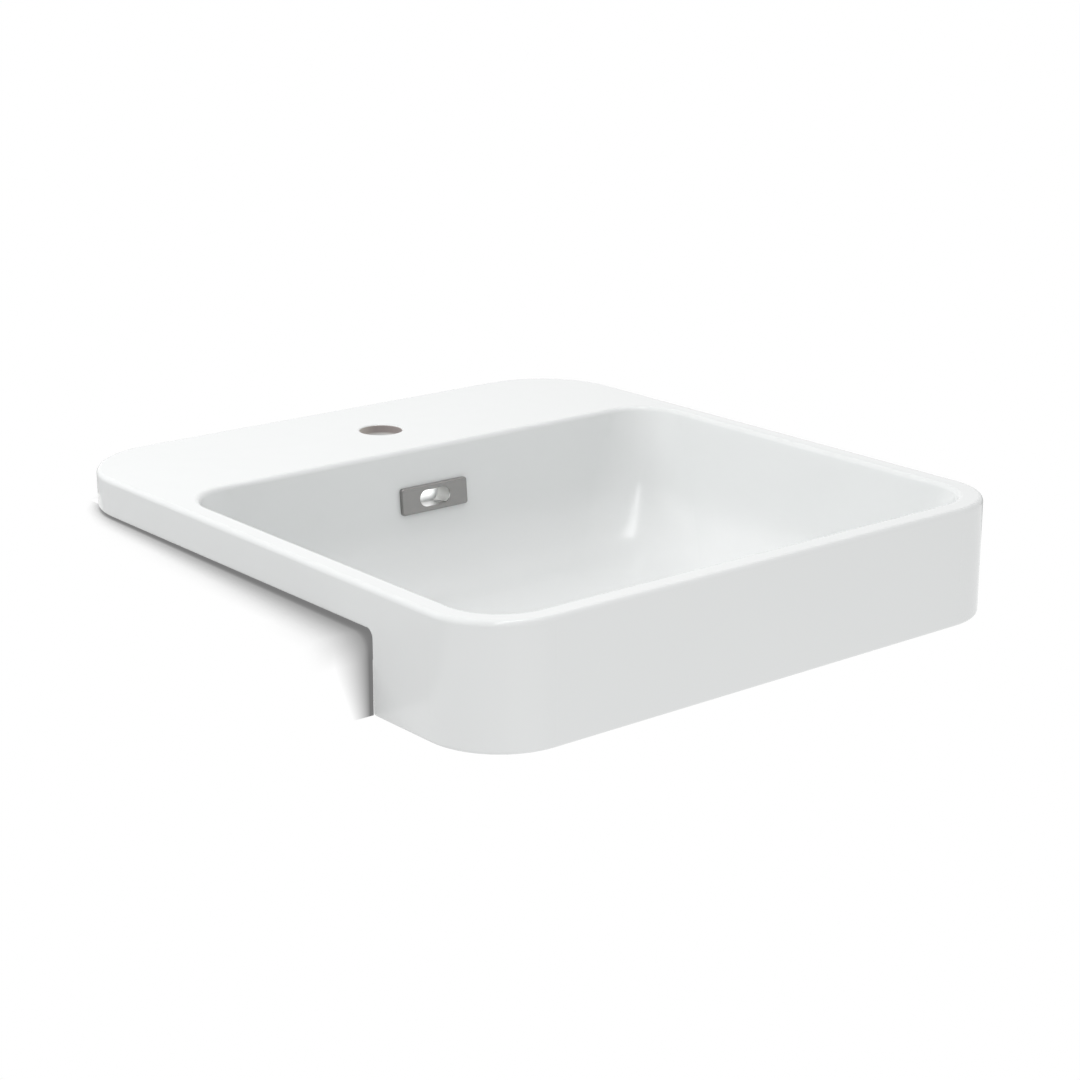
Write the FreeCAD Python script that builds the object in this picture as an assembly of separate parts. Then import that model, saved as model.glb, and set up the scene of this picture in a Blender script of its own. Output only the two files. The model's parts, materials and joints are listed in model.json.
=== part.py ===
import FreeCAD, Part
import math
import os

V = FreeCAD.Vector
X, Y, Z = V(1, 0, 0), V(0, 1, 0), V(0, 0, 1)

# Semi recessed wash basin, millimetres. X to the right, Y to the back, Z up.
# z = 0 is the worktop that carries the basin. The origin is the middle of the
# ground seat under the back edge of the tap ledge.

# Ceramic, seen from outside
width = 500.0            # side to side
depth = 540.0            # front face to back edge
lip = 30.0               # edge of the deck above the worktop
apron_drop = 60.0        # front apron below the worktop
apron_length = 122.0     # front face to the notch that meets the worktop
front_corner = 58.0      # plan radius of the two front corners
back_corner = 75.0       # plan radius of the two back corners
outer_round = 4.0        # rounding of the outer top edge
foot_round = 2.5         # rounding of every lower edge
notch_round = 6.0        # hollow rounding where the lip turns down to the apron
skirt = 12.0             # thickness of the turned down edges
deck = 13.0              # thickness of the tap ledge

# Bowl
rim = 18.0               # outer face to bowl opening, front and sides
ledge = 147.0            # back edge to bowl opening
opening_corner = 40.0    # plan radius of the opening's corners
floor_corner = 78.0      # plan radius of the corners down at the floor
rim_round = 4.0          # rounding of the opening's edge
bowl_depth = 112.0       # deck to the edge of the floor
floor_fall = 8.0         # further fall of the floor to the waste
floor_round = 64.0       # sweep from the walls into the floor
sweep_turns = (15, 30, 45, 60, 75, 85)   # degrees of the sweep that are drawn
side_draft = 8.0         # lean of the side walls, degrees
front_draft = 12.0       # lean of the front wall
back_draft = 5.0         # lean of the back wall
wall = 11.0              # ceramic thickness of the bowl

# Tap hole
tap_radius = 17.5
tap_setback = 80.0       # back edge to the tap hole's centre
tap_edge = 1.5           # rounding of its upper edge

# Overflow: a hole in the back wall, a cast channel behind it, a fitted trim
trim_width, trim_height, trim_plate = 65.0, 22.0, 3.5
trim_clear = 1.578       # from the trim down to where the wall starts to sweep
trim_corner, trim_edge = 2.5, 1.2
slot_width, slot_height = 30.0, 13.5
spigot_wall, spigot_reach = 1.2, 3.0     # the spigot reaches past the wall
trim_gap = 0.1           # sealant line behind the trim
clip_wall, clip_flare, clip_gap, barb_gap = 1.2, 1.0, 1.0, 0.3
channel_side, channel_gap, channel_wall = 3.5, 9.0, 7.0
channel_top = 8.0        # head of the channel above the trim

# Waste: slotted flanged tail with a push plug
waste_setback = 310.0    # back edge to the waste's axis
bore_gap = 2.0           # hole in the ceramic round the tail
outlet_thick = 34.0      # ceramic between flange recess and lower seal
boss_radius = 46.0       # pad on the underside around the hole
flange_radius, recess, recess_gap, gasket = 32.0, 3.0, 1.5, 1.0
floor_land = 6.0         # level floor around the flange
dish_land, dish_lead, dish_depth = 4.0, 2.0, 4.0
tail_radius = 20.955     # outside of the 1 1/4 inch pipe thread
tail_bore = 17.5
tail_length = 70.0       # flange recess to the end of the tail
relief_width, relief_depth, relief_drop = 1.5, 0.6, 1.0     # thread relief below the nut
window_height, window_width, window_count = 11.0, 14.0, 4
web_thick, web_width, web_count, hub_radius, hub_bore = 5.5, 4.0, 3, 9.0, 4.0
web_height = 34.0        # flange recess to the underside of the web
seal_thick, washer_thick, nut_thick = 5.0, 2.0, 9.0
seal_radius, seal_taper, washer_inset, nut_flats = 33.0, 4.0, 2.0, 56.0
thread_gap = 0.1         # nut, washer and seal round the tail
chamfer, small_edge = 1.0, 0.8

# Push plug and its click cartridge, drawn with the plug up
stroke = 9.0             # shut to open
cap_inset, cap_rim, cap_dome = 2.0, 3.0, 5.0
cap_lift = 1.3           # cap's underside above the floor when shut
seal_inset, seal_width, seal_lip, seal_gap = 1.0, 3.5, 1.5, 0.2
rib_width, rib_drop = 2.0, 1.8
boss_wall, boss_gap = 2.5, 1.0
sleeve_bore, sleeve_wall, sleeve_lid, sleeve_height = 6.9, 1.6, 2.0, 24.0
rod_radius, rod_gap, rod_grip = 4.0, 0.05, 6.0
collar_gap, collar_thick = 0.3, 3.0
spindle_step, ring_thick, ring_teeth, ring_groove = 1.0, 3.0, 6, 0.8
spring_coils, spring_wire, wire_sides = 4.5, 0.9, 8
foot_nut, foot_nut_flats, foot_end = 4.0, 13.0, 1.0

# Places that follow
over = 5.0               # how far a cutter passes a face
y_back = skirt / 2
y_front = y_back - depth
y_notch = y_front + apron_length
y_open_front = y_front + rim
y_open_back = y_back - ledge
y_tap = y_back - tap_setback
y_waste = y_back - waste_setback
half = width / 2
half_open = half - rim
floor_z = lip - bowl_depth - floor_fall
seat_z = floor_z - recess
outlet_z = seat_z - outlet_thick
sweep_start = bowl_depth - floor_round * (1 - math.sin(math.radians(back_draft)))
overflow_drop = sweep_start - trim_clear - trim_height / 2     # deck to the trim's middle
spigot_length = wall + spigot_reach
clip_grow = spigot_wall + thread_gap + clip_wall
channel_width = slot_width + 2 * (clip_grow + clip_flare + channel_side)
bore_radius = tail_radius + bore_gap
dish_radius = flange_radius - dish_land
dish_foot = tail_bore + dish_lead
cap_radius = flange_radius - cap_inset
seal_outer = dish_radius - seal_inset
seal_inner = seal_outer - seal_width
boss_width = rod_radius + boss_wall
sleeve_radius = sleeve_bore + sleeve_wall
collar_radius = sleeve_bore - collar_gap
spindle_radius = rod_radius - spindle_step
sleeve_low = seat_z - web_height + web_thick
cap_low = floor_z + cap_lift + stroke
boss_low = sleeve_low + sleeve_height + boss_gap + stroke
dish_slope = dish_depth / (dish_radius - dish_foot)
nut_low = outlet_z - seal_thick - washer_thick - nut_thick
seal_low = floor_z - (seal_inset + seal_lip) * dish_slope + seal_gap + stroke


def tan(degrees):
    return math.tan(math.radians(degrees))


def cylinder(radius, low, high, x=0.0, y=0.0):
    return Part.makeCylinder(radius, high - low, V(x, y, low))


def ring(outer, inner, low, high, y=0.0):
    tube = cylinder(outer, low, high, 0, y)
    return tube.cut(cylinder(inner, low - over, high + over, 0, y))


def block(x0, x1, y0, y1, z0, z1):
    return Part.makeBox(x1 - x0, y1 - y0, z1 - z0, V(x0, y0, z0))


def rounded_plan(x_half, y0, y1, front_radius, back_radius, z):
    """Closed outline of a rectangle with round corners, at height z."""
    corners = [
        (x_half - front_radius, y0 + front_radius, front_radius, -90),
        (x_half - back_radius, y1 - back_radius, back_radius, 0),
        (back_radius - x_half, y1 - back_radius, back_radius, 90),
        (front_radius - x_half, y0 + front_radius, front_radius, 180),
    ]
    edges = []
    ends = []
    for cx, cy, radius, start in corners:
        points = []
        for turn in (0, 45, 90):
            angle = math.radians(start + turn)
            points.append(V(cx + radius * math.cos(angle), cy + radius * math.sin(angle), z))
        edges.append(Part.Arc(*points).toShape())
        ends.append((points[0], points[2]))
    outline = []
    for index in range(4):
        outline.append(edges[index])
        here, there = ends[index][1], ends[(index + 1) % 4][0]
        outline.append(Part.LineSegment(here, there).toShape())
    return Part.Wire(outline)


def prism(wire, height):
    return Part.Face(wire).extrude(V(0, 0, height))


def select_edges(shape, wanted):
    """Edges whose two ends and middle all pass the test."""
    found = []
    for edge in shape.Edges:
        first, last = edge.FirstParameter, edge.LastParameter
        spots = [edge.valueAt(first), edge.valueAt(last), edge.valueAt((first + last) / 2)]
        if all(wanted(spot) for spot in spots):
            found.append(edge)
    return found


def bowl_inset(grow, depth_here, draft):
    """How far a wall that leans by draft has come in at this depth."""
    radius = floor_round + grow
    centre = bowl_depth - floor_round
    touch = centre + radius * math.sin(math.radians(draft))
    if depth_here <= touch:
        return depth_here * tan(draft)
    lift = min(1.0, (depth_here - centre) / radius)
    reach = touch * tan(draft) + radius * math.cos(math.radians(draft))
    return reach - radius * math.sqrt(max(0.0, 1.0 - lift * lift))


def bowl_form(grow):
    """The bowl's cavity, or the same form grown by a ceramic thickness."""
    radius = floor_round + grow
    centre = bowl_depth - floor_round
    low = bowl_depth + grow
    levels = [deck / 2] if grow else [-over, 0.0]
    levels += [centre * share for share in (0.25, 0.5, 0.75, 1.0)]
    for turn in sweep_turns:
        levels.append(centre + radius * math.sin(math.radians(turn)))
    wires = []
    for level in levels:
        side = bowl_inset(grow, level, side_draft)
        front = bowl_inset(grow, level, front_draft)
        back = bowl_inset(grow, level, back_draft)
        share = max(0.0, level / low)
        corner = opening_corner + grow + (floor_corner - opening_corner) * share
        wires.append(rounded_plan(half_open + grow - side, y_open_front - grow + front,
                                  y_open_back + grow - back, corner, corner, lip - level))
    foot = flange_radius + floor_land + grow
    corner = foot - chamfer
    low_wire = rounded_plan(foot, y_waste - foot, y_waste + foot, corner, corner,
                            lip - low - floor_fall)
    walls = Part.makeLoft(wires, True, False)
    floor = Part.makeLoft([wires[-1], low_wire], True, True)
    return walls.fuse(floor)


def outer_shell():
    """Deck with turned down edges, and the deeper apron in front of the notch."""
    plan = rounded_plan(half, y_front, y_back, front_corner, back_corner, -apron_drop)
    shell = prism(plan, apron_drop + lip)
    behind = block(-half - over, half + over, y_notch, y_back + over, -apron_drop - over, 0)
    inner = select_edges(behind, lambda p: p.z > -0.01 and p.y < y_notch + 0.01)
    shell = shell.cut(behind.makeFillet(notch_round, inner))
    top = select_edges(shell, lambda p: p.z > lip - 0.01)
    shell = shell.makeFillet(outer_round, top)

    def lower(p):
        at_side = abs(p.x) > half - 0.01
        at_foot = abs(p.z) < 0.01 and (at_side or p.y > y_notch + notch_round + 0.01)
        at_notch = at_side and p.z < 0.01 and p.y < y_notch + notch_round + 0.01
        return at_foot or (at_notch and p.y > y_notch - 0.01) or p.z < 0.01 - apron_drop
    shell = shell.makeFillet(foot_round, select_edges(shell, lower))
    inside = rounded_plan(half - skirt, y_front + skirt, y_back - skirt,
                          front_corner - skirt, back_corner - skirt, -apron_drop - over)
    hollow = prism(inside, apron_drop + over + lip - deck)
    web = block(-half, half, y_notch - skirt, y_notch, -apron_drop - 2 * over, lip)
    return shell.cut(hollow.cut(web))


def channel(grow_in, grow_out, side, head):
    """Space beside the back of the bowl between two of its grown forms."""
    reach = block(-side, side, y_waste, y_back, outlet_z - 2 * over, head)
    return bowl_form(grow_out).common(reach).cut(bowl_form(grow_in))


def wall_place(drop):
    """Place on the back wall's inner face, its local Z out into the bowl, X to the right."""
    spot = V(0, y_open_back - drop * tan(back_draft), lip - drop)
    return FreeCAD.Placement(spot, FreeCAD.Rotation(X, 90 - back_draft))


def stadium(length, height, low, high):
    """Slot shaped solid along local X."""
    radius = height / 2
    run = length / 2 - radius
    a, b, c = V(-run, -radius, low), V(run, -radius, low), V(run + radius, 0, low)
    d, e, f = V(run, radius, low), V(-run, radius, low), V(-run - radius, 0, low)
    outline = Part.Wire([Part.LineSegment(a, b).toShape(), Part.Arc(b, c, d).toShape(),
                         Part.LineSegment(d, e).toShape(), Part.Arc(e, f, a).toShape()])
    return prism(outline, high - low)


def slot_tube(outer_grow, inner_grow, low, high):
    """Tube that follows the overflow slot, its walls given as offsets from it."""
    outer = stadium(slot_width + 2 * outer_grow, slot_height + 2 * outer_grow, low, high)
    inner = stadium(slot_width + 2 * inner_grow, slot_height + 2 * inner_grow,
                    low - over, high + over)
    return outer.cut(inner)


def turned(points, y=y_waste):
    """Solid of revolution about the upright axis at y, from radius and height pairs."""
    corners = [V(radius, y, height) for radius, height in points]
    outline = Part.makePolygon(corners + corners[:1])
    return Part.Face(outline).revolve(V(0, y, 0), Z, 360)


def hexagon(flats, low, high, bore):
    corner = flats / 2 / math.cos(math.radians(30))
    points = []
    for index in range(7):
        angle = math.radians(60 * index)
        points.append(V(corner * math.cos(angle), y_waste + corner * math.sin(angle), low))
    nut = prism(Part.makePolygon(points), high - low)
    bevel = (corner - flats / 2) * tan(30)
    rounded = turned([(0, low), (flats / 2, low), (corner, low + bevel),
                      (corner, high - bevel), (flats / 2, high), (0, high)])
    return nut.common(rounded).cut(cylinder(bore, low - over, high + over, 0, y_waste))


def basin_body():
    head = lip - overflow_drop + trim_height / 2 + channel_top
    outside = wall + channel_gap + channel_wall
    body = outer_shell().fuse(bowl_form(wall))
    body = body.fuse(channel(0, outside, channel_width / 2 + channel_wall, head + channel_wall))
    body = body.fuse(cylinder(boss_radius, outlet_z, floor_z, 0, y_waste))
    body = body.cut(bowl_form(0))
    body = body.cut(channel(wall, wall + channel_gap, channel_width / 2, head))
    body = body.cut(cylinder(bore_radius, outlet_z - over, floor_z + over, 0, y_waste))
    body = body.cut(cylinder(flange_radius + recess_gap, seat_z, floor_z + over, 0, y_waste))
    body = body.cut(cylinder(tap_radius, -over, lip + over, 0, y_tap))
    grow = clip_grow + thread_gap
    hole = stadium(slot_width + 2 * grow, slot_height + 2 * grow, -wall - channel_gap / 2, over)
    hole.Placement = wall_place(overflow_drop)
    body = body.cut(hole).removeSplitter()

    def opening(p):
        inside = abs(p.x) < half_open + 1 and y_open_front - 1 < p.y < y_open_back + 1
        return p.z > lip - 0.01 and inside
    body = body.makeFillet(rim_round, select_edges(body, opening))

    def tap_mouth(p):
        return p.z > lip - 0.01 and abs(math.hypot(p.x, p.y - y_tap) - tap_radius) < 0.1
    return body.makeFillet(tap_edge, select_edges(body, tap_mouth))


def overflow_trim():
    """Bright frame round the overflow slot, with a spigot into the wall."""
    plate = block(-trim_width / 2, trim_width / 2, -trim_height / 2, trim_height / 2,
                  trim_gap, trim_plate)
    upright = select_edges(plate, lambda p: abs(p.x) > trim_width / 2 - 0.01
                           and abs(p.y) > trim_height / 2 - 0.01)
    plate = plate.makeFillet(trim_corner, upright)
    plate = plate.makeFillet(trim_edge, select_edges(plate, lambda p: p.z > trim_plate - 0.01))
    plate = plate.cut(stadium(slot_width, slot_height, -over, trim_plate + over))
    trim = plate.fuse(slot_tube(spigot_wall, 0, -spigot_length, trim_plate / 2))
    trim.Placement = wall_place(overflow_drop)
    return trim


def overflow_clip():
    """Plastic sleeve on the spigot, its barb behind the wall."""
    inner = spigot_wall + thread_gap
    barb = -wall - barb_gap
    clip = slot_tube(clip_grow, inner, -spigot_length, -clip_gap)
    clip = clip.fuse(slot_tube(clip_grow + clip_flare, inner, -spigot_length, barb))
    clip.Placement = wall_place(overflow_drop)
    return clip


def waste_body():
    """Flanged tail with overflow windows and a cross web for the cartridge."""
    end = seat_z - tail_length
    under = seat_z + gasket
    relief = nut_low - relief_drop
    neck = tail_radius - relief_depth
    profile = [(tail_bore, end), (tail_radius - chamfer, end), (tail_radius, end + chamfer),
               (tail_radius, relief - relief_width), (neck, relief - relief_width),
               (neck, relief), (tail_radius, relief),
               (tail_radius, under), (flange_radius - chamfer, under),
               (flange_radius, under + chamfer), (flange_radius - chamfer, floor_z),
               (dish_radius, floor_z), (dish_foot, floor_z - dish_depth),
               (tail_bore, floor_z - dish_depth - dish_lead)]
    body = turned(profile)
    middle = floor_z - wall - channel_gap / 2
    for index in range(window_count):
        window = block(-window_width / 2, window_width / 2, y_waste, y_waste + tail_radius + over,
                       middle - window_height / 2, middle + window_height / 2)
        window.rotate(V(0, y_waste, 0), Z, 360 * (index + 0.5) / window_count)
        body = body.cut(window)
    low = seat_z - web_height
    web = cylinder(hub_radius, low, low + web_thick, 0, y_waste)
    for index in range(web_count):
        spoke = block(-web_width / 2, web_width / 2, y_waste, y_waste + tail_bore + chamfer,
                      low, low + web_thick)
        spoke.rotate(V(0, y_waste, 0), Z, 360 * index / web_count)
        web = web.fuse(spoke)
    web = web.cut(cylinder(hub_bore, low - over, low + web_thick + over, 0, y_waste))
    return body.fuse(web)


def flange_seal():
    outer = flange_radius - chamfer
    return ring(outer, tail_radius + thread_gap, seat_z, seat_z + gasket, y_waste)


def lower_seal():
    """Rubber ring under the ceramic, narrower towards the washer."""
    low = outlet_z - seal_thick
    hole = tail_radius + thread_gap
    return turned([(hole, outlet_z), (seal_radius, outlet_z), (seal_radius, low + seal_taper),
                   (seal_radius - seal_taper, low), (hole, low)])


def slip_washer():
    high = outlet_z - seal_thick
    outer = seal_radius - washer_inset
    return ring(outer, tail_radius + thread_gap, high - washer_thick, high, y_waste)


def backnut():
    return hexagon(nut_flats, nut_low, nut_low + nut_thick, tail_radius + thread_gap)


def cartridge_sleeve():
    """Barrel of the click mechanism, bolted through the web by its foot."""
    top = sleeve_low + sleeve_height
    foot = seat_z - web_height - foot_nut - foot_end
    return turned([(0, foot), (hub_bore - rod_gap, foot), (hub_bore - rod_gap, sleeve_low),
                   (sleeve_radius, sleeve_low), (sleeve_radius, top - small_edge),
                   (sleeve_radius - small_edge, top), (rod_radius + rod_gap, top),
                   (rod_radius + rod_gap, top - sleeve_lid), (sleeve_bore, top - sleeve_lid),
                   (sleeve_bore, sleeve_low + sleeve_lid), (0, sleeve_low + sleeve_lid)])


def cartridge_nut():
    high = seat_z - web_height
    return hexagon(foot_nut_flats, high - foot_nut, high, hub_bore)


def plunger():
    """Rod of the plug, with the collar that stops it and the latch's spindle."""
    stop = sleeve_low + sleeve_height - sleeve_lid
    collar = stop - collar_thick
    tip = collar - ring_thick - chamfer
    return turned([(0, tip), (spindle_radius, tip),
                   (spindle_radius, collar), (collar_radius, collar), (collar_radius, stop),
                   (rod_radius, stop), (rod_radius, boss_low + rod_grip),
                   (0, boss_low + rod_grip)])


def latch_ring():
    """Toothed ring that turns a step at each push."""
    high = sleeve_low + sleeve_height - sleeve_lid - collar_thick - rod_gap
    body = ring(collar_radius, spindle_radius + rod_gap, high - ring_thick, high, y_waste)
    for index in range(ring_teeth):
        groove = cylinder(ring_groove, high - ring_thick - over, high + over,
                          collar_radius, y_waste)
        groove.rotate(V(0, y_waste, 0), Z, 360 * index / ring_teeth)
        body = body.cut(groove)
    return body


def click_spring():
    low = sleeve_low + sleeve_lid + spring_wire / 2
    ring_low = sleeve_low + sleeve_height - sleeve_lid - collar_thick - rod_gap - ring_thick
    height = ring_low - spring_wire / 2 - low
    radius = (sleeve_bore + spindle_radius) / 2
    helix = Part.makeHelix(height / spring_coils, height, radius)
    corners = []
    for index in range(wire_sides + 1):
        angle = 2 * math.pi * index / wire_sides
        out = radius + spring_wire / 2 * math.cos(angle)
        corners.append(V(out, 0, spring_wire / 2 * math.sin(angle)))
    section = Part.makePolygon(corners)
    spring = Part.Wire(helix.Edges).makePipeShell([section], True, True)
    spring.translate(V(0, y_waste, low))
    return spring


def plug_cap():
    """Domed cap with a threaded boss and a rib that holds its seal."""
    edge = cap_low + cap_rim
    sphere = (cap_radius ** 2 + cap_dome ** 2) / (2 * cap_dome)
    dome = []
    for share in (0.5, 1.0):
        angle = share * math.asin(cap_radius / sphere)
        dome.append(V(sphere * math.sin(angle), y_waste,
                      edge + cap_dome - sphere * (1 - math.cos(angle))))
    crown = V(0, y_waste, edge + cap_dome)
    points = [(cap_radius, edge), (cap_radius, cap_low + small_edge),
              (cap_radius - small_edge, cap_low),
              (seal_inner, cap_low), (seal_inner, cap_low - rib_drop),
              (seal_inner - rib_width, cap_low - rib_drop), (seal_inner - rib_width, cap_low),
              (boss_width, cap_low), (boss_width, boss_low), (rod_radius + rod_gap, boss_low),
              (rod_radius + rod_gap, boss_low + rod_grip + rod_gap),
              (0, boss_low + rod_grip + rod_gap)]
    corners = [V(radius, y_waste, height) for radius, height in points]
    lines = Part.makePolygon(corners + [crown]).Edges
    outline = Part.Wire([Part.Arc(crown, dome[0], dome[1]).toShape()] + lines)
    return Part.Face(outline).revolve(V(0, y_waste, 0), Z, 360)


def plug_seal():
    """Rubber ring under the cap that closes on the flange's dish."""
    return turned([(seal_inner, cap_low), (seal_outer, cap_low), (seal_outer, seal_low + seal_lip),
                   (seal_outer - seal_lip, seal_low), (seal_inner, seal_low)])


PIECES = {
    "basin_body": basin_body,
    "overflow_trim": overflow_trim,
    "overflow_clip": overflow_clip,
    "waste_body": waste_body,
    "flange_seal": flange_seal,
    "lower_seal": lower_seal,
    "slip_washer": slip_washer,
    "backnut": backnut,
    "cartridge_sleeve": cartridge_sleeve,
    "cartridge_nut": cartridge_nut,
    "plunger": plunger,
    "latch_ring": latch_ring,
    "click_spring": click_spring,
    "plug_cap": plug_cap,
    "plug_seal": plug_seal,
}

os.makedirs("parts", exist_ok=True)
for name, make in PIECES.items():
    piece = make()
    piece.exportStep("parts/" + name + ".step")
    print(name, "solids", len(piece.Solids), "valid", piece.isValid(),
          "cm3", round(piece.Volume / 1000, 2))
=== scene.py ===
import json
import math

import bmesh
import bpy
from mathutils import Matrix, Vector


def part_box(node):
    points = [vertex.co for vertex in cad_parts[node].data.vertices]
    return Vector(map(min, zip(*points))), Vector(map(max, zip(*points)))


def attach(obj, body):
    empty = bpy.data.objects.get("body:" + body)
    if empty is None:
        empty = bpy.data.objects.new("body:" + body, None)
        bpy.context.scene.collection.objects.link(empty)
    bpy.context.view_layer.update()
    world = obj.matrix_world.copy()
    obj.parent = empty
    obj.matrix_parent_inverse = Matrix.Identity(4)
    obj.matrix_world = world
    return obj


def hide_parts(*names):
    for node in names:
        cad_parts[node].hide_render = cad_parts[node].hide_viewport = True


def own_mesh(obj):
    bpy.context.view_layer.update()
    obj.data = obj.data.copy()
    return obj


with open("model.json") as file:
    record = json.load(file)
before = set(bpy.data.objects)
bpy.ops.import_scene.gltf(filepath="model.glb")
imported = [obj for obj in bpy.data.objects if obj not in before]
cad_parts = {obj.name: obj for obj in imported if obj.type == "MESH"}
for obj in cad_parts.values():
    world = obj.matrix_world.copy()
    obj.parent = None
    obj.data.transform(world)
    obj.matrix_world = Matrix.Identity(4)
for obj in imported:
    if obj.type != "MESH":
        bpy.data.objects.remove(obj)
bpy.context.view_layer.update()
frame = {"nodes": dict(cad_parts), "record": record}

bl_info = {
    "name": "Semi recessed basin",
    "version": (1, 0, 0),
    "blender": (4, 5, 0),
    "location": "View3D > Sidebar > Basin",
    "description": "Ceramic semi recessed basin with overflow trim and push plug waste",
    "category": "Object",
}

BODY_LOW, BODY_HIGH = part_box("basin_body")
TRIM_LOW, TRIM_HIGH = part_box("overflow_trim")
SPRING_LOW, SPRING_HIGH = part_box("click_spring")
MOUNTS = {mount["name"]: mount for mount in frame["record"]["mounts"]}
TAP_PLACE = MOUNTS["tap_hole"]["pos_m"]
TAP_RADIUS = MOUNTS["tap_hole"]["dims"]["r_mm"] / 1000
TAIL_PLACE = MOUNTS["waste_outlet"]["pos_m"]
TAIL_RADIUS = MOUNTS["waste_outlet"]["dims"]["r_mm"] / 1000
TAIL_LENGTH = MOUNTS["waste_outlet"]["dims"]["length_mm"] / 1000
TAIL_END = TAIL_PLACE[2] - TAIL_LENGTH / 2

# Meshes, metres
MERGE = 1e-6                 # points nearer than this are one
NEAR = 1e-5                  # how far a point may lie from the place that is asked for
SMOOTH_ANGLE = math.radians(30)

# Pipe thread on the free end of the tail, metres
THREAD_CREST, THREAD_FOOT = 0.12, 0.48   # half widths of the ridge, shares of the pitch
THREAD_SUNK = 0.0001         # how far its foot lies inside the tail
THREAD_STEPS = 48            # sections in a turn
THREAD_FADE = 0.5            # turns in which the thread runs out at its ends
RELIEF_DEPTH = 0.0006        # of the groove above the thread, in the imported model

# Spring of the click cartridge
SPRING_STEPS, WIRE_SIDES = 40, 16        # sections in a turn, sides of the wire

# Glaze and clay: patterns in lumps per metre, reliefs in metres
GLAZE_CLOUDS, GLAZE_DIM = 9.0, 0.985     # pattern, and brightness of its dimmer parts
GLAZE_ROUGHNESS = (0.13, 0.19)
GLAZE_IOR = 1.52
GLAZE_WAVES, GLAZE_WAVE_DEPTH = 22.0, 0.0003
GLAZE_PEEL, GLAZE_PEEL_DEPTH = 260.0, 0.000006
CLAY_GRAIN, CLAY_GRAIN_DEPTH, CLAY_DIM = 900.0, 0.0001, 0.85
CLAY_ROUGHNESS = 0.85
FACING_DOWN = -0.99          # a ground face's normal is at least this steep
GROUND_BAND = 0.00005        # how near to its level a face has to be to be ground
BARE_RIM = 0.0003            # how far past the tap hole's wall its bare clay ends
BARE_RISE = (-0.002, 0.001)  # heights from its mount between which glaze turns to bare clay, painted dark there as shade
HOLE_SHADE_START, HOLE_SHADE_FULL = -TAP_RADIUS, TAP_RADIUS / 3    # how the painted shade on that clay darkens from left to right

# Metal: patterns in lumps or rings per metre
METAL_CLOUDS, METAL_DIM = 60.0, 0.93
METAL_WEAR, METAL_GRAIN = 350.0, 2500.0
BRASS_RINGS, BRASS_WOBBLE, BRASS_RING_DEPTH = 220.0, 0.6, 0.00002
BRASS_TARNISH, BRASS_DULL = 90.0, 0.7
BRASS_ROUGHNESS = (0.24, 0.42)

# Rubber and plastic
BLOOM_SCALE, BLOOM_PALER = 70.0, 0.25
MOULDED_SPREAD = 0.05        # of the roughness, to either side

# Stretches of a noise's value
NOISE_MOST = (0.3, 0.7)      # nearly all of it
TARNISH_PART, BLOOM_PART = (0.45, 0.7), (0.4, 0.75)

# Overflow trim, metres
TRIM_LEAN = math.radians(5)  # of the wall that the trim sits on
SLOT_HALF = (0.0156, 0.006)  # half width and height of the part of the trim's slot painted pale as painted light
SLOT_LIGHT_START = 0.0014        # how far inside the slot the painted light begins
SLOT_LIGHT_REACH = 1.0           # far enough to take in the whole depth of the slot

# Worktop sheet and the cabinet's panel below its front edge, metres
FLOOR_HALF = 3.0
FLOOR_DROP_BACK, FLOOR_DROP_FRONT = 0.0015, 0.0055   # gap under the seat, at the wall and in front
FLOOR_EDGE, FLOOR_EDGE_STEPS = 0.012, 8              # round of the sheet's front edge
FLOOR_BOUNCE = 0.5           # share of the light that it throws back
PANEL_Y, PANEL_LOW = -0.404, -0.0635                 # where the panel stands, and its foot
PANEL_INSIDE = BODY_HIGH[0] - 0.0065                 # nearer the middle the panel is clear
CUTOUT_HALF, CUTOUT_BACK = 0.236, -0.01              # the sheet's hole for the bowl
SEAT_HALF, SEAT_BACK = BODY_HIGH[0] + 0.0005, BODY_HIGH[1] + 0.0005  # lets light through inside these

# Painted shadow on them
SHADOW_DARK = 0.19           # brightness where it is darkest
SHADOW_REACH = 0.055         # how far from the basin a point of the sheet is shaded, metres
SHADOW_CORE = 0.1            # share of open sky where the sheet is darkest
SHADOW_BACK, SHADOW_FRONT = 0.65, 0.92               # and where it is white, at the wall and in front
SHADOW_FALL, PANEL_FALL = 2.3, 0.75                  # powers that shape the way from dark to white
PANEL_FADE = (-FLOOR_DROP_FRONT, -0.024)             # heights between which the panel's shadow takes over
PANEL_DARK = BODY_HIGH[0] - 0.0035                   # where the panel is darkest, from the middle
PANEL_WHITE = (BODY_HIGH[0] + 0.010, BODY_HIGH[0] + 0.024)   # where it is white, at its foot and higher up
SKY_SAMPLES = 16

# Lamps and camera, metres
STAGE_MIDDLE = (0, -0.25, 0)
BACK_LAMP, BACK_LAMP_SIZE = (-0.9, 0.9, 1.5), (1.0, 1.0)
LEFT_LAMP, LEFT_LAMP_SIZE = (-1.4, -0.1, 1.3), (0.8, 0.8)
LOW_LAMP, LOW_LAMP_SIZE, LOW_LAMP_AIM = (-0.2, -1.9, -0.8), (1.5, 1.0), (0, -0.5, -0.05)
STRIP_LAMP, STRIP_LAMP_SIZE, STRIP_LAMP_TURN = Vector((-0.4, -0.73, 1.2)), (2.47, 0.1), math.radians(43.2)
OVERFLOW_LAMP_IN, OVERFLOW_LAMP_SIZE = 0.001, (0.03, 0.01)   # past the spigot's inner end
SENSOR_MM = 36.0

# Space for a node in the editor, and the sockets of a Mix node by its kind: two inputs, one output
NODE_WIDTH, NODE_HEIGHT = 220, 320
MIX_SOCKETS = {"FLOAT": (2, 3, 0), "RGBA": (6, 7, 2)}


# ---------------------------------------------------------------- properties

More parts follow.
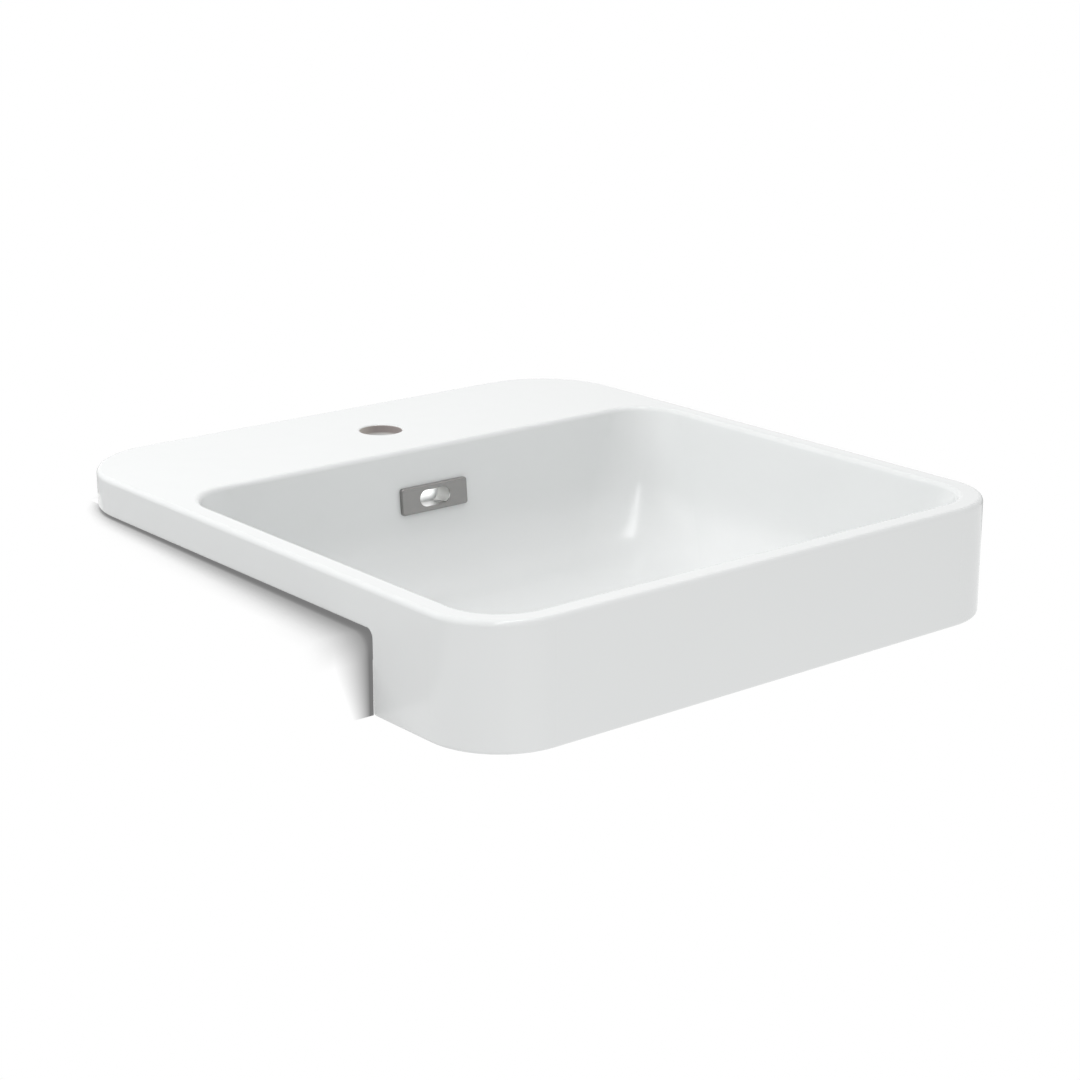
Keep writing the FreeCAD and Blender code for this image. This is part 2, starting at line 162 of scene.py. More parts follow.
class BasinSizes(bpy.types.PropertyGroup):
    """Sizes of the pieces that are modelled anew."""
    thread_pitch: bpy.props.FloatProperty(
        name="Thread pitch", description="Rise of the waste's pipe thread in a turn",
        unit="LENGTH", default=0.002309)
    thread_depth: bpy.props.FloatProperty(
        name="Thread depth", description="Height of the pipe thread's ridge",
        unit="LENGTH", default=0.00148)
    spring_wire: bpy.props.FloatProperty(
        name="Spring wire", description="Thickness of the wire of the cartridge's spring",
        unit="LENGTH", default=0.0009)
    spring_turns: bpy.props.FloatProperty(
        name="Spring turns", description="How often the spring goes round", default=4.5)


class BasinFinishes(bpy.types.PropertyGroup):
    """Colours of the materials."""
    glaze: bpy.props.FloatVectorProperty(
        name="Glaze", description="Colour of the glazed ceramic", subtype="COLOR",
        size=4, min=0.0, max=1.0, default=(0.793, 0.806, 0.804, 1.0))
    bisque: bpy.props.FloatVectorProperty(
        name="Bisque", description="Colour of the ground, unglazed seat", subtype="COLOR",
        size=4, min=0.0, max=1.0, default=(0.70, 0.66, 0.60, 1.0))
    # painted shade: a dark clay colour that stands in for the shade on the tap hole's upper wall
    hole_shade: bpy.props.FloatVectorProperty(
        name="Stain", description="Colour of the bare clay inside the tap hole", subtype="COLOR",
        size=4, min=0.0, max=1.0, default=(0.33, 0.29, 0.28, 1.0))
    chrome: bpy.props.FloatVectorProperty(
        name="Chrome", description="Colour of the chrome plate", subtype="COLOR",
        size=4, min=0.0, max=1.0, default=(0.55, 0.56, 0.57, 1.0))
    # painted shade: the trim's chrome is darkened to stand in for the darker reflections it shows
    trim: bpy.props.FloatVectorProperty(
        name="Trim", description="Colour of the overflow trim's dark chrome", subtype="COLOR",
        size=4, min=0.0, max=1.0, default=(0.315, 0.308, 0.302, 1.0))
    steel: bpy.props.FloatVectorProperty(
        name="Steel", description="Colour of the spring wire", subtype="COLOR",
        size=4, min=0.0, max=1.0, default=(0.52, 0.52, 0.53, 1.0))
    brass: bpy.props.FloatVectorProperty(
        name="Brass", description="Colour of the bare brass", subtype="COLOR",
        size=4, min=0.0, max=1.0, default=(0.75, 0.55, 0.25, 1.0))
    rubber: bpy.props.FloatVectorProperty(
        name="Rubber", description="Colour of the seals", subtype="COLOR",
        size=4, min=0.0, max=1.0, default=(0.03, 0.03, 0.032, 1.0))
    plastic: bpy.props.FloatVectorProperty(
        name="Plastic", description="Colour of the moulded plastic pieces", subtype="COLOR",
        size=4, min=0.0, max=1.0, default=(0.72, 0.72, 0.70, 1.0))


class BasinStage(bpy.types.PropertyGroup):
    """Lamps and camera."""
    camera_place: bpy.props.FloatVectorProperty(
        name="Camera place", description="Where the camera stands", subtype="XYZ",
        unit="LENGTH", size=3, default=(-1.1143, -1.6507, 0.5181))
    camera_tilt: bpy.props.FloatProperty(
        name="Camera tilt", description="Angle of the view below the level", subtype="ANGLE",
        default=math.radians(16.834))
    camera_turn: bpy.props.FloatProperty(
        name="Camera turn", description="Angle of the view to the right of the back",
        subtype="ANGLE", default=math.radians(39.134))
    camera_lens: bpy.props.FloatProperty(
        name="Camera lens", description="Focal length for a sensor 36 mm wide, in millimetres",
        unit="CAMERA", default=80.56)
    sky_light: bpy.props.FloatProperty(
        name="Sky light", description="Strength of the even light from all sides", default=0.67)
    back_power: bpy.props.FloatProperty(
        name="Back lamp", description="Power of the lamp at the back left",
        unit="POWER", default=12.0)
    left_power: bpy.props.FloatProperty(
        name="Left lamp", description="Power of the high lamp on the left",
        unit="POWER", default=5.8)
    low_power: bpy.props.FloatProperty(
        name="Low lamp", description="Power of the lamp below in front",
        unit="POWER", default=6.4)
    strip_power: bpy.props.FloatProperty(
        name="Strip lamp", description="Power of the long lamp over the bowl",
        unit="POWER", default=4.0)
    overflow_power: bpy.props.FloatProperty(
        name="Overflow lamp", description="Power of the small lamp inside the overflow",
        unit="POWER", default=0.0028)


# --------------------------------------------------------------------- nodes

def node(tree, kind, **values):
    made = tree.nodes.new(kind)
    for key, value in values.items():
        setattr(made, key, value)
    return made


def feed(tree, value, socket):
    """Link the socket to another one, or give it a plain value."""
    if isinstance(value, bpy.types.NodeSocket):
        tree.links.new(value, socket)
    else:
        socket.default_value = value


def object_place(tree):
    """Object coordinates, and the same split into X, Y and Z."""
    place = node(tree, "ShaderNodeTexCoord").outputs["Object"]
    parts = node(tree, "ShaderNodeSeparateXYZ")
    feed(tree, place, parts.inputs[0])
    return place, parts.outputs


def noise(tree, scale, detail):
    """Noise that stays with the object, scale in lumps per metre."""
    made = node(tree, "ShaderNodeTexNoise")
    made.inputs["Scale"].default_value = scale
    made.inputs["Detail"].default_value = detail
    feed(tree, node(tree, "ShaderNodeTexCoord").outputs["Object"], made.inputs["Vector"])
    return made.outputs["Fac"]


def ramp(tree, source, low, high, to_low, to_high):
    """The source's stretch low to high carried over to another range, and held there."""
    made = node(tree, "ShaderNodeMapRange")
    for key, value in (("Value", source), ("From Min", low), ("From Max", high),
                       ("To Min", to_low), ("To Max", to_high)):
        feed(tree, value, made.inputs[key])
    return made.outputs[0]


def maths(tree, operation, *values):
    """Result of one operation on sockets or numbers."""
    made = node(tree, "ShaderNodeMath", operation=operation)
    for value, socket in zip(values, made.inputs):
        feed(tree, value, socket)
    return made.outputs[0]


def vector_maths(tree, operation, first, second, result="Vector"):
    """Result of one operation on two vectors."""
    made = node(tree, "ShaderNodeVectorMath", operation=operation)
    feed(tree, first, made.inputs[0])
    feed(tree, second, made.inputs[1])
    return made.outputs[result]


def blend(tree, factor, low, high, kind="FLOAT"):
    """Number between two numbers or sockets."""
    first, second, result = MIX_SOCKETS[kind]
    made = node(tree, "ShaderNodeMix", data_type=kind)
    feed(tree, factor, made.inputs[0])
    feed(tree, low, made.inputs[first])
    feed(tree, high, made.inputs[second])
    return made.outputs[result]


def tint(tree, factor, low, high):
    """Colour between two colours or sockets."""
    return blend(tree, factor, low, high, "RGBA")


def choose(tree, factor, first, second):
    """Shader between two shaders."""
    made = node(tree, "ShaderNodeMixShader")
    for value, socket in zip((factor, first, second), made.inputs):
        feed(tree, value, socket)
    return made.outputs[0]


def bump(tree, height, distance, under=None):
    """Normal of a surface that rises by distance, in metres, where height is 1."""
    made = node(tree, "ShaderNodeBump")
    made.inputs["Strength"].default_value = 1.0
    made.inputs["Distance"].default_value = distance
    feed(tree, height, made.inputs["Height"])
    if under is not None:
        feed(tree, under, made.inputs["Normal"])
    return made.outputs["Normal"]


def arrange(tree):
    """Set the nodes out in columns, each to the left of those it feeds."""
    column = {made.name: 0 for made in tree.nodes}
    for _ in tree.nodes:
        for joined in tree.links:
            least = column[joined.to_node.name] + 1
            column[joined.from_node.name] = max(column[joined.from_node.name], least)
    rows = dict.fromkeys(column.values(), 0)
    for made in tree.nodes:
        across = column[made.name]
        made.location = (-NODE_WIDTH * across, -NODE_HEIGHT * rows[across])
        rows[across] += 1


# ----------------------------------------------------------------- materials

def new_material(name):
    material = bpy.data.materials.new(name)
    material.use_nodes = True
    shader = material.node_tree.nodes["Principled BSDF"]
    return material, material.node_tree, shader


def dress(name, material):
    """Give a carried over node its material."""
    target = frame["nodes"][name]
    target.data.materials.clear()
    target.data.materials.append(material)


def shade(colour, share):
    return tuple(channel * share for channel in colour[:3]) + (1.0,)


def ground_faces(tree, parts):
    """1 on the faces that the grinding wheel made flat: the seat and the outlet pad."""
    facing = node(tree, "ShaderNodeSeparateXYZ")
    feed(tree, node(tree, "ShaderNodeNewGeometry").outputs["True Normal"], facing.inputs[0])
    down = maths(tree, "LESS_THAN", facing.outputs["Z"], FACING_DOWN)
    seat = maths(tree, "COMPARE", parts["Z"], 0.0, GROUND_BAND)
    pad = maths(tree, "COMPARE", parts["Z"], BODY_LOW[2], GROUND_BAND)
    return maths(tree, "MULTIPLY", down, maths(tree, "MAXIMUM", seat, pad))


def tap_hole_shade_band(tree, place, parts):
    """1 on the upper part of the tap hole's wall: bare clay, painted dark there as shade."""
    flat = vector_maths(tree, "MULTIPLY", place, (1.0, 1.0, 0.0))
    reach = vector_maths(tree, "DISTANCE", flat, (TAP_PLACE[0], TAP_PLACE[1], 0.0), "Value")
    inside = ramp(tree, reach, TAP_RADIUS, TAP_RADIUS + BARE_RIM, 1.0, 0.0)
    low, high = (TAP_PLACE[2] + rise for rise in BARE_RISE)
    return maths(tree, "MULTIPLY", inside, ramp(tree, parts["Z"], low, high, 0.0, 1.0))


def glaze_material(finishes):
    """White glaze, with bare ground clay on the seat, the outlet pad and in the tap hole, where the clay
    is painted dark as shade, darker to the right.
    """
    material, tree, shader = new_material("glazed_ceramic")
    place, parts = object_place(tree)
    hole = tap_hole_shade_band(tree, place, parts)
    bare = maths(tree, "MAXIMUM", ground_faces(tree, parts), hole)

    clouds = noise(tree, GLAZE_CLOUDS, detail=2.0)
    glaze = tint(tree, clouds, shade(finishes.glaze, GLAZE_DIM), finishes.glaze)
    grain = noise(tree, CLAY_GRAIN, detail=4.0)
    clay = tint(tree, grain, shade(finishes.bisque, CLAY_DIM), finishes.bisque)
    # painted shade inside the tap hole: the bare clay turns darker from left to right
    side = ramp(tree, parts["X"], HOLE_SHADE_START, HOLE_SHADE_FULL, 0.0, 1.0)
    clay = tint(tree, hole, clay, tint(tree, side, finishes.bisque, finishes.hole_shade))
    feed(tree, tint(tree, bare, glaze, clay), shader.inputs["Base Color"])

    gloss = ramp(tree, clouds, *NOISE_MOST, *GLAZE_ROUGHNESS)
    feed(tree, blend(tree, bare, gloss, CLAY_ROUGHNESS), shader.inputs["Roughness"])
    shader.inputs["IOR"].default_value = GLAZE_IOR

    waves = bump(tree, noise(tree, GLAZE_WAVES, detail=1.0), GLAZE_WAVE_DEPTH)
    peel = bump(tree, noise(tree, GLAZE_PEEL, detail=1.0), GLAZE_PEEL_DEPTH, waves)
    chalk = maths(tree, "MULTIPLY", grain, bare)
    feed(tree, bump(tree, chalk, CLAY_GRAIN_DEPTH, peel), shader.inputs["Normal"])
    arrange(tree)
    return material


def metal(name, colour, roughness, spread, grain_depth):
    """Plated or bare metal with uneven polish and faint grain."""
    material, tree, shader = new_material(name)
    shader.inputs["Metallic"].default_value = 1.0
    clouds = noise(tree, METAL_CLOUDS, detail=3.0)
    feed(tree, tint(tree, clouds, shade(colour, METAL_DIM), colour), shader.inputs["Base Color"])
    wear = noise(tree, METAL_WEAR, detail=5.0)
    feed(tree, ramp(tree, wear, *NOISE_MOST, roughness, roughness + spread), shader.inputs["Roughness"])
    grain = noise(tree, METAL_GRAIN, detail=2.0)
    feed(tree, bump(tree, grain, grain_depth), shader.inputs["Normal"])
    arrange(tree)
    return material


def slot_region():
    """Axes of the trim's leaning plate, each with the stretch on it that its slot takes."""
    up = Vector((0, math.sin(TRIM_LEAN), math.cos(TRIM_LEAN)))
    out = Vector((0, -math.cos(TRIM_LEAN), math.sin(TRIM_LEAN)))
    places = [vert.co for vert in frame["nodes"]["overflow_trim"].data.vertices]
    rise = [place.dot(up) for place in places]
    middle = (min(rise) + max(rise)) / 2
    face = max(place.dot(out) for place in places)
    half_width, half_height = SLOT_HALF
    return ((Vector((1, 0, 0)), -half_width, half_width),
            (up, middle - half_height, middle + half_height),
            (out, face - SLOT_LIGHT_REACH, face - SLOT_LIGHT_START))


def trim_material(finishes):
    """Chrome darkened as painted shade, with the pale plastic colour painted on the walls of the slot
    behind its face as painted light.
    """
    material = metal("trim_plate", finishes.trim, roughness=0.12, spread=0.08, grain_depth=0.000001)
    tree = material.node_tree
    shader = tree.nodes["Principled BSDF"]
    place = node(tree, "ShaderNodeTexCoord").outputs["Object"]
    # painted light: a pale, non-metallic patch on the slot's walls behind the trim's face
    slot_painted_light = 1.0
    for axis, low, high in slot_region():
        along = vector_maths(tree, "DOT_PRODUCT", place, axis, "Value")
        above = maths(tree, "GREATER_THAN", along, low)
        below = maths(tree, "LESS_THAN", along, high)
        slot_painted_light = maths(tree, "MULTIPLY", maths(tree, "MULTIPLY", above, below), slot_painted_light)
    plated = shader.inputs["Base Color"].links[0].from_socket
    feed(tree, tint(tree, slot_painted_light, plated, finishes.plastic), shader.inputs["Base Color"])
    feed(tree, maths(tree, "SUBTRACT", 1.0, slot_painted_light), shader.inputs["Metallic"])
    arrange(tree)
    return material


def turned_brass(colour):
    """Machined brass: rings from the tool, a little tarnish."""
    material, tree, shader = new_material("turned_brass")
    shader.inputs["Metallic"].default_value = 1.0
    wave = node(tree, "ShaderNodeTexWave", wave_type="BANDS", bands_direction="Z")
    wave.inputs["Scale"].default_value = BRASS_RINGS
    wave.inputs["Distortion"].default_value = BRASS_WOBBLE
    feed(tree, node(tree, "ShaderNodeTexCoord").outputs["Object"], wave.inputs["Vector"])
    tarnish = noise(tree, BRASS_TARNISH, detail=6.0)
    patches = ramp(tree, tarnish, *TARNISH_PART, 0.0, 1.0)
    feed(tree, tint(tree, patches, colour, shade(colour, BRASS_DULL)), shader.inputs["Base Color"])
    feed(tree, ramp(tree, tarnish, *NOISE_MOST, *BRASS_ROUGHNESS), shader.inputs["Roughness"])
    feed(tree, bump(tree, wave.outputs["Fac"], BRASS_RING_DEPTH), shader.inputs["Normal"])
    arrange(tree)
    return material


def moulded(name, colour, roughness, grain_scale, grain_depth, dust):
    """Moulded rubber or plastic: fine grain, and a pale bloom in patches."""
    material, tree, shader = new_material(name)
    bloom = ramp(tree, noise(tree, BLOOM_SCALE, detail=4.0), *BLOOM_PART, 0.0, dust)
    pale = tuple(min(1.0, channel + BLOOM_PALER) for channel in colour[:3]) + (1.0,)
    feed(tree, tint(tree, bloom, colour, pale), shader.inputs["Base Color"])
    grain = noise(tree, grain_scale, detail=2.0)
    smooth, rough = roughness - MOULDED_SPREAD, roughness + MOULDED_SPREAD
    feed(tree, ramp(tree, grain, *NOISE_MOST, smooth, rough), shader.inputs["Roughness"])
    feed(tree, bump(tree, grain, grain_depth), shader.inputs["Normal"])
    arrange(tree)
    return material


# -------------------------------------------------------------------- pieces

def finish_piece(name, shape, material, body):
    """Link a new piece, smooth its round faces and let it ride on its body."""
    mesh = bpy.data.meshes.new(name)
    shape.to_mesh(mesh)
    shape.free()
    piece = bpy.data.objects.new(name, mesh)
    bpy.context.scene.collection.objects.link(piece)
    mesh.materials.append(material)
    for face in mesh.polygons:
        face.use_smooth = True
    mesh.set_sharp_from_angle(angle=SMOOTH_ANGLE)
    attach(piece, body)
    return piece


def from_axis(vert):
    """The point's distance from the waste's axis, as a level vector."""
    return Vector((vert.co.x, vert.co.y - TAIL_PLACE[1], 0.0))


def threaded_tail(sizes):
    """Copy of the waste body whose free end is turned down to the root of the thread."""
    copy = bmesh.new()
    copy.from_mesh(frame["nodes"]["waste_body"].data)
    bmesh.ops.remove_doubles(copy, verts=copy.verts, dist=MERGE)
    neck = TAIL_RADIUS - RELIEF_DEPTH
    root = TAIL_RADIUS - sizes.thread_depth
    for vert in copy.verts:
        out = from_axis(vert)
        at_end = TAIL_END - NEAR < vert.co.z < TAIL_END + TAIL_LENGTH + NEAR
        free_end = at_end and out.length > neck - NEAR
        groove = abs(out.length - neck) < NEAR
        if free_end or groove:
            vert.co -= out * (1.0 - root / out.length)
    return copy


def helix(section, pitch, turns, steps):
    """A section of points (radius, height) wound round the waste's axis, closed at both ends."""
    wound = bmesh.new()
    verts = [wound.verts.new((radius, TAIL_PLACE[1], height)) for radius, height in section]
    face = wound.faces.new(verts)
    bmesh.ops.spin(wound, geom=verts + list(face.edges) + [face], cent=(0, TAIL_PLACE[1], 0),
                   axis=(0, 0, 1), dvec=(0, 0, pitch / steps),
                   angle=2 * math.pi * turns, steps=round(turns * steps))
    bmesh.ops.recalc_face_normals(wound, faces=wound.faces)
    return wound


def thread_ridge(sizes):
    """Helical ridge of the pipe thread, faded out at both ends."""
    pitch = sizes.thread_pitch
    root = TAIL_RADIUS - sizes.thread_depth - THREAD_SUNK
    turns = int((TAIL_LENGTH - pitch) / pitch)
    crest = THREAD_CREST * pitch
    foot = THREAD_FOOT * pitch
    start = TAIL_END + foot
    section = [(root, start - foot), (TAIL_RADIUS, start - crest),
               (TAIL_RADIUS, start + crest), (root, start + foot)]
    ridge = helix(section, pitch, turns, THREAD_STEPS)
    for vert in ridge.verts:
        out = from_axis(vert)
        along = (vert.co.z - start) / pitch
        fade = min(1.0, max(0.0, along) / THREAD_FADE, max(0.0, turns - along) / THREAD_FADE)
        if out.length > root + NEAR:
            vert.co -= out * (1.0 - fade) * (1.0 - (root + NEAR) / out.length)
    return ridge


def spring_coil(sizes):
    """Spring under the latch ring, of round wire."""
    half = sizes.spring_wire / 2
    radius = SPRING_HIGH[0] - half
    low, high = SPRING_LOW[2] + half, SPRING_HIGH[2] - half
    angles = [2 * math.pi * side / WIRE_SIDES for side in range(WIRE_SIDES)]
    section = [(radius + half * math.cos(angle), low + half * math.sin(angle)) for angle in angles]
    return helix(section, (high - low) / sizes.spring_turns, sizes.spring_turns, SPRING_STEPS)


# --------------------------------------------------------------------- stage

def area_lamp(name, place, aim, size, power, glossy=True, turn=0.0):
    """Rectangular lamp, turned about the line to its aim."""
    data = bpy.data.lights.new(name, "AREA")
    data.shape = "RECTANGLE"
    data.size, data.size_y = size
    data.energy = power
    lamp = bpy.data.objects.new(name, data)
    bpy.context.scene.collection.objects.link(lamp)
    lamp.visible_glossy = glossy
    lamp.location = place
    facing = (Vector(aim) - Vector(place)).to_track_quat("-Z", "Y").to_euler()
    facing.rotate_axis("Z", turn)
    lamp.rotation_euler = facing


def sheet_light(tree, parts):
    """How light the worktop is: a painted shadow, dark where the basin hides the sky, in a band that
    widens forwards.
    """
    sky = node(tree, "ShaderNodeAmbientOcclusion", samples=SKY_SAMPLES)
    sky.inputs["Distance"].default_value = SHADOW_REACH
    white = ramp(tree, parts["Y"], 0.0, PANEL_Y, SHADOW_BACK, SHADOW_FRONT)
    light = ramp(tree, sky.outputs["AO"], SHADOW_CORE, white, 0.0, 1.0)
    return maths(tree, "POWER", light, SHADOW_FALL)


def panel_light(tree, parts, across):
    """How light the panel is: a painted shadow, dark beside the apron, in a band that narrows to its foot.
    """
    white = ramp(tree, parts["Z"], PANEL_LOW, PANEL_FADE[1], *PANEL_WHITE)
    light = ramp(tree, across, PANEL_DARK, white, 0.0, 1.0)
    return maths(tree, "POWER", light, PANEL_FALL)


def floor_material():
    """White, with a painted soft shadow where the basin comes near; clear from behind.

    The camera sees the shadow and other rays see a plain pale surface. Under the
    basin it lets them through, so that the seat isn't black from below.
    """
    material = bpy.data.materials.new("pale_floor")
    material.use_nodes = True
    tree = material.node_tree
    tree.nodes.clear()
    parts = object_place(tree)[1]
    across = maths(tree, "ABSOLUTE", parts["X"])
    lower = ramp(tree, parts["Z"], *PANEL_FADE, 0.0, 1.0)
    light = blend(tree, lower, sheet_light(tree, parts), panel_light(tree, parts, across))
    painted_shadow_glow = node(tree, "ShaderNodeEmission")
    feed(tree, ramp(tree, light, 0.0, 1.0, SHADOW_DARK, 1.0), painted_shadow_glow.inputs["Strength"])

    diffuse = node(tree, "ShaderNodeBsdfDiffuse")
    diffuse.inputs["Color"].default_value = (FLOOR_BOUNCE, FLOOR_BOUNCE, FLOOR_BOUNCE, 1.0)
    clear = node(tree, "ShaderNodeBsdfTransparent").outputs[0]
    beside = maths(tree, "GREATER_THAN", across, SEAT_HALF)
    behind = maths(tree, "GREATER_THAN", parts["Y"], SEAT_BACK)
    bounce = choose(tree, maths(tree, "MAXIMUM", beside, behind), clear, diffuse.outputs[0])
    path = node(tree, "ShaderNodeLightPath")
    shown = choose(tree, path.outputs["Is Camera Ray"], bounce, painted_shadow_glow.outputs[0])

    inner = maths(tree, "LESS_THAN", across, PANEL_INSIDE)
    low = maths(tree, "LESS_THAN", parts["Z"], PANEL_FADE[1])
    gone = maths(tree, "MULTIPLY", inner, low)
    geometry = node(tree, "ShaderNodeNewGeometry")
    gone = maths(tree, "MAXIMUM", geometry.outputs["Backfacing"], gone)
    out = node(tree, "ShaderNodeOutputMaterial")
    feed(tree, choose(tree, gone, shown, clear), out.inputs["Surface"])
    arrange(tree)
    return material


def studio_world(stage):
    """Even light, and plain white wherever it is seen, reflected or seen through glass."""
    world = bpy.data.worlds.new("studio")
    world.use_nodes = True
    tree = world.node_tree
    back = tree.nodes["Background"]
    path = node(tree, "ShaderNodeLightPath")
    seen = maths(tree, "MAXIMUM", path.outputs["Is Camera Ray"], path.outputs["Is Glossy Ray"])
    seen = maths(tree, "MAXIMUM", seen, path.outputs["Is Transmission Ray"])
    feed(tree, ramp(tree, seen, 0.0, 1.0, stage.sky_light, 1.0), back.inputs["Strength"])
    back.inputs["Color"].default_value = (1.0, 1.0, 1.0, 1.0)
    arrange(tree)
    return world


def cut(sheet, place, normal, clear=False):
    """Cut the sheet along a plane, and clear what lies on the side of its normal."""
    bmesh.ops.bisect_plane(sheet, geom=sheet.verts[:] + sheet.edges[:] + sheet.faces[:],
                           plane_co=place, plane_no=normal, clear_outer=clear)


def pale_floor():
    """Worktop sheet around the bowl with the front panel of its cabinet."""
    floor = bmesh.new()
    bmesh.ops.create_grid(floor, x_segments=1, y_segments=1, size=FLOOR_HALF)
    cut(floor, (0, PANEL_Y, 0), (0, -1, 0), clear=True)
    cut(floor, (0, CUTOUT_BACK, 0), (0, 1, 0))
    cut(floor, (0, 0, 0), (0, 1, 0))
    for side in (-1, 1):
        cut(floor, (side * CUTOUT_HALF, 0, 0), (1, 0, 0))
    inside = []
    for face in floor.faces:
        middle = face.calc_center_median()
        if abs(middle.x) < CUTOUT_HALF and middle.y < CUTOUT_BACK:
            inside.append(face)
    bmesh.ops.delete(floor, geom=inside, context="FACES")
    for vert in floor.verts:
        forward = max(0.0, min(1.0, vert.co.y / PANEL_Y))
        vert.co.z = -FLOOR_DROP_BACK - (FLOOR_DROP_FRONT - FLOOR_DROP_BACK) * forward
    rims = [edge for edge in floor.edges
            if edge.is_boundary and all(abs(vert.co.y - PANEL_Y) < NEAR for vert in edge.verts)]
    for item in bmesh.ops.extrude_edge_only(floor, edges=rims)["geom"]:
        if isinstance(item, bmesh.types.BMVert):
            item.co.z = PANEL_LOW
    bmesh.ops.bevel(floor, geom=rims, offset=FLOOR_EDGE, offset_type="OFFSET", segments=FLOOR_EDGE_STEPS,
                    profile=0.5, affect="EDGES", material=-1, clamp_overlap=False)
    mesh = bpy.data.meshes.new("pale_floor")
    floor.to_mesh(mesh)
    floor.free()
    for face in mesh.polygons:
        face.use_smooth = True
    obj = bpy.data.objects.new("pale_floor", mesh)
    bpy.context.scene.collection.objects.link(obj)
    mesh.materials.append(floor_material())


def lamps(stage):
    """Two high lamps on the left, one low in front, a strip over the bowl, one in the overflow."""
    area_lamp("back_lamp", BACK_LAMP, STAGE_MIDDLE, BACK_LAMP_SIZE, stage.back_power, glossy=False)
    area_lamp("left_lamp", LEFT_LAMP, STAGE_MIDDLE, LEFT_LAMP_SIZE, stage.left_power, glossy=False)
    area_lamp("low_lamp", LOW_LAMP, LOW_LAMP_AIM, LOW_LAMP_SIZE, stage.low_power, glossy=False)
    area_lamp("strip_lamp", STRIP_LAMP, STRIP_LAMP - Vector((0, 0, 1)), STRIP_LAMP_SIZE,
              stage.strip_power, turn=STRIP_LAMP_TURN)
    inlet = Vector((0, TRIM_HIGH[1] + OVERFLOW_LAMP_IN, (TRIM_LOW[2] + TRIM_HIGH[2]) / 2))
    area_lamp("overflow_lamp", inlet, inlet + Vector((0, 1, 0)), OVERFLOW_LAMP_SIZE, stage.overflow_power)


def camera(stage):
    """Camera fitted to the photograph."""
    data = bpy.data.cameras.new("camera")
    data.sensor_width = SENSOR_MM
    data.lens = stage.camera_lens
    made = bpy.data.objects.new("camera", data)
    made.location = stage.camera_place
    made.rotation_euler = (math.pi / 2 - stage.camera_tilt, 0, -stage.camera_turn)
    return made


# ----------------------------------------------------------------- operators

class BASIN_OT_ceramic(bpy.types.Operator):
    """Glaze the basin's ceramic body"""
    bl_idname = "basin.ceramic"
    bl_label = "Ceramic body"

    def execute(self, context):
        dress("basin_body", glaze_material(context.scene.basin_finishes))
        return {"FINISHED"}


class BASIN_OT_fittings(bpy.types.Operator):
    """Finish the trim, the seals, the nut and the click cartridge"""
    bl_idname = "basin.fittings"
    bl_label = "Fittings"

    def execute(self, context):
        finishes = context.scene.basin_finishes
        chrome = metal("chrome_plate", finishes.chrome, roughness=0.06, spread=0.05, grain_depth=0.000001)
        brass = turned_brass(finishes.brass)
        rubber = moulded("seal_rubber", finishes.rubber, roughness=0.6,
                         grain_scale=1800.0, grain_depth=0.00002, dust=0.25)
        plastic = moulded("moulded_plastic", finishes.plastic, roughness=0.38,
                          grain_scale=1200.0, grain_depth=0.00001, dust=0.4)
        dress("overflow_trim", trim_material(finishes))
        dress("plug_cap", chrome)
        for name in ("backnut", "cartridge_sleeve", "cartridge_nut", "plunger"):
            dress(name, brass)
        for name in ("flange_seal", "lower_seal", "plug_seal"):
            dress(name, rubber)
        for name in ("overflow_clip", "slip_washer", "latch_ring"):
            dress(name, plastic)
        return {"FINISHED"}


class BASIN_OT_waste(bpy.types.Operator):
    """Model the waste tail with its pipe thread"""
    bl_idname = "basin.waste"
    bl_label = "Waste tail"

    def execute(self, context):
        sizes, finishes = context.scene.basin_sizes, context.scene.basin_finishes
        chrome = metal("waste_plate", finishes.chrome, roughness=0.09, spread=0.06, grain_depth=0.000002)
        tail = finish_piece("waste_tail", threaded_tail(sizes), chrome, "basin")
        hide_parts("waste_body")
        finish_piece("waste_thread", thread_ridge(sizes), chrome, "basin")
        return {"FINISHED"}


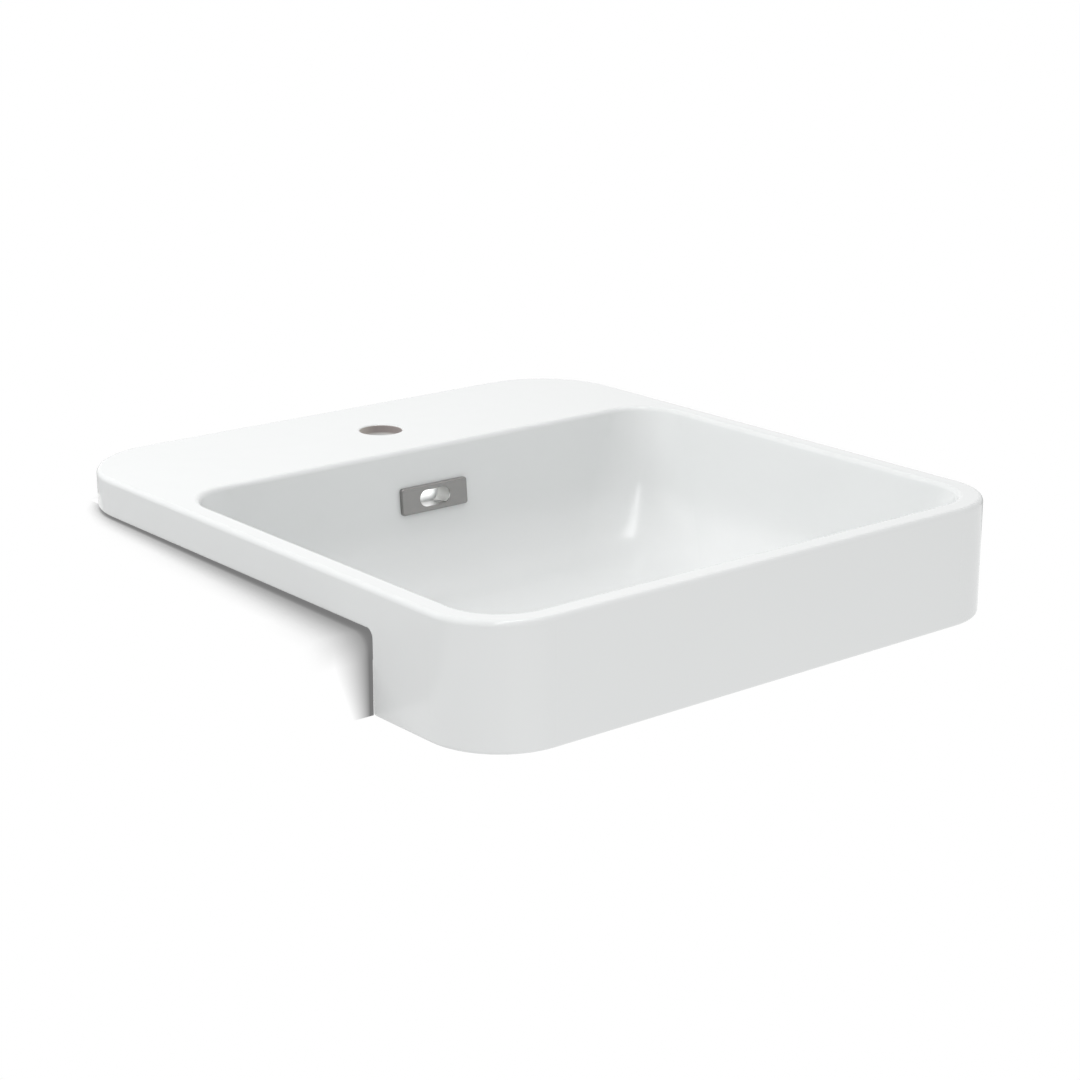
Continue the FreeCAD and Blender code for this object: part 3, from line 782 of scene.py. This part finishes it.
class BASIN_OT_spring(bpy.types.Operator):
    """Model the cartridge's spring"""
    bl_idname = "basin.spring"
    bl_label = "Cartridge spring"

    def execute(self, context):
        sizes, finishes = context.scene.basin_sizes, context.scene.basin_finishes
        steel = metal("spring_wire", finishes.steel, roughness=0.22, spread=0.1, grain_depth=0.000002)
        spring = finish_piece("spring_coil", spring_coil(sizes), steel, "basin")
        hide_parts("click_spring")
        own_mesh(spring)
        return {"FINISHED"}


class BASIN_OT_stage(bpy.types.Operator):
    """Set the pale floor, the soft lamps and the camera"""
    bl_idname = "basin.stage"
    bl_label = "Stage"

    def execute(self, context):
        scene = context.scene
        scene.world = studio_world(scene.basin_stage)
        pale_floor()
        lamps(scene.basin_stage)
        scene.camera = camera(scene.basin_stage)
        scene.collection.objects.link(scene.camera)
        scene.view_settings.view_transform = "Standard"
        return {"FINISHED"}


class BASIN_PT_panel(bpy.types.Panel):
    """Shows a button for each step that builds the basin"""
    bl_idname = "BASIN_PT_panel"
    bl_label = "Basin"
    bl_space_type = "VIEW_3D"
    bl_region_type = "UI"
    bl_category = "Basin"

    def draw(self, context):
        for operator in OPERATORS:
            self.layout.operator(operator.bl_idname)


OPERATORS = (BASIN_OT_ceramic, BASIN_OT_fittings, BASIN_OT_waste, BASIN_OT_spring, BASIN_OT_stage)
GROUPS = (BasinSizes, BasinFinishes, BasinStage)
CLASSES = GROUPS + OPERATORS + (BASIN_PT_panel,)


def register():
    for cls in CLASSES:
        bpy.utils.register_class(cls)
    bpy.types.Scene.basin_sizes = bpy.props.PointerProperty(type=BasinSizes)
    bpy.types.Scene.basin_finishes = bpy.props.PointerProperty(type=BasinFinishes)
    bpy.types.Scene.basin_stage = bpy.props.PointerProperty(type=BasinStage)


def unregister():
    del bpy.types.Scene.basin_stage
    del bpy.types.Scene.basin_finishes
    del bpy.types.Scene.basin_sizes
    for cls in reversed(CLASSES):
        bpy.utils.unregister_class(cls)


def main():
    register()
    bpy.ops.basin.ceramic()
    bpy.ops.basin.fittings()
    bpy.ops.basin.waste()
    bpy.ops.basin.spring()
    bpy.ops.basin.stage()


if __name__ == "__main__":
    main()
